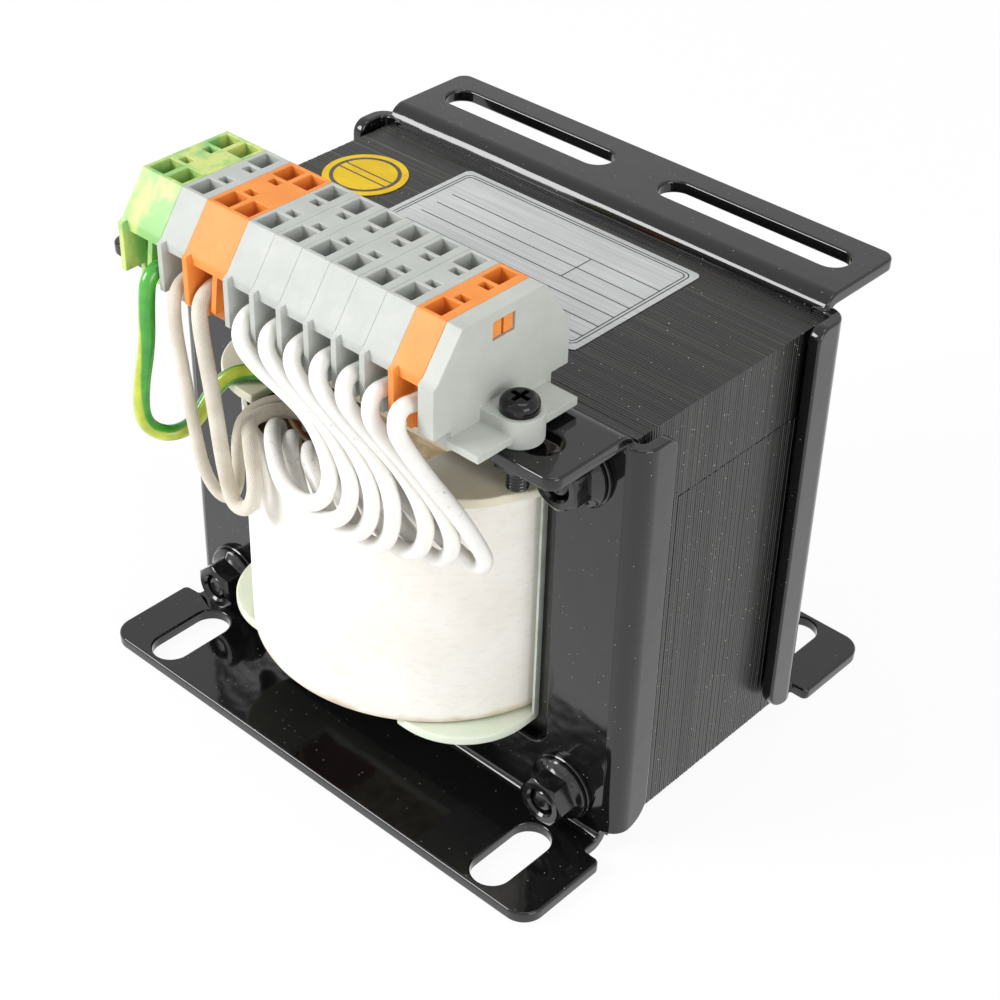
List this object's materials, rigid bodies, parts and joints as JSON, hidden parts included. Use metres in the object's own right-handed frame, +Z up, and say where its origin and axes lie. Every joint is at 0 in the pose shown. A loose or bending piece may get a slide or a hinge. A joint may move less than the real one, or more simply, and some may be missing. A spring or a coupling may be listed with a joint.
{
  "type": "transformer",
  "caption": "Panel transformer with a laminated core, a wrapped coil between two folded brackets, and a clamp terminal strip wired to the coil.",
  "frame": {"origin": "on the fixing plane, in the middle of the four slots of the feet", "axes": "+X along each foot, towards the end plate of the terminal strip; the strip and its wires are at -Y; +Z up from the feet"},
  "size_m": [0.09, 0.0892, 0.0894],
  "materials": {
    "core_steel": "black varnish over sheet edges",
    "black_sheet": "glossy black paint",
    "black_hardware": "glossy black finish",
    "bobbin_nylon": "slightly translucent cream nylon",
    "enamelled_copper": "enamelled copper",
    "screen_foil": "bare copper foil",
    "insulating_paper": "insulating paper",
    "wrap_paper": "smooth white wrapping paper",
    "green_yellow_plastic": "moulded, green and yellow marbled",
    "grey_plastic": "moulded grey",
    "orange_plastic": "moulded orange",
    "end_plate_plastic": "moulded grey",
    "spring_steel": "bright spring steel",
    "bar_metal": "tinned",
    "label_silver": "silver-grey film",
    "sticker_yellow": "yellow film",
    "green_yellow_lead": "glossy, green with a yellow stripe",
    "cream_sleeve": "fine braid",
    "white_lead": "smooth white"
  },
  "bodies": {
    "root": {"core_e_stack": "core_steel", "core_i_stack": "core_steel", "front_bracket": "black_sheet", "rear_bracket": "black_sheet", "core_bolts": "black_hardware", "core_nuts": "black_hardware", "core_washers": "black_hardware", "bobbin": "bobbin_nylon", "primary_winding": "enamelled_copper", "secondary_winding": "enamelled_copper", "earth_screen": "screen_foil", "winding_insulation": "insulating_paper", "window_liners": "insulating_paper", "coil_wrap": "wrap_paper", "terminal_green": "green_yellow_plastic", "terminal_grey_1": "grey_plastic", "terminal_grey_2": "grey_plastic", "terminal_grey_3": "grey_plastic", "terminal_grey_4": "grey_plastic", "terminal_grey_5": "grey_plastic", "terminal_grey_6": "grey_plastic", "terminal_grey_7": "grey_plastic", "terminal_orange_1": "orange_plastic", "terminal_orange_2": "orange_plastic", "terminal_end_plate": "end_plate_plastic", "clamp_springs": "spring_steel", "current_bars": "bar_metal", "strip_screw": "black_hardware", "strip_washer": "black_hardware", "strip_nut": "black_hardware", "rating_label": "label_silver", "round_sticker": "sticker_yellow", "wire_green": "green_yellow_lead", "wire_cream_1": "cream_sleeve", "wire_cream_2": "cream_sleeve", "wire_white_1": "white_lead", "wire_white_2": "white_lead", "wire_white_3": "white_lead", "wire_white_4": "white_lead", "wire_white_5": "white_lead", "wire_white_6": "white_lead", "wire_white_7": "white_lead"}
  },
  "joints": []
}
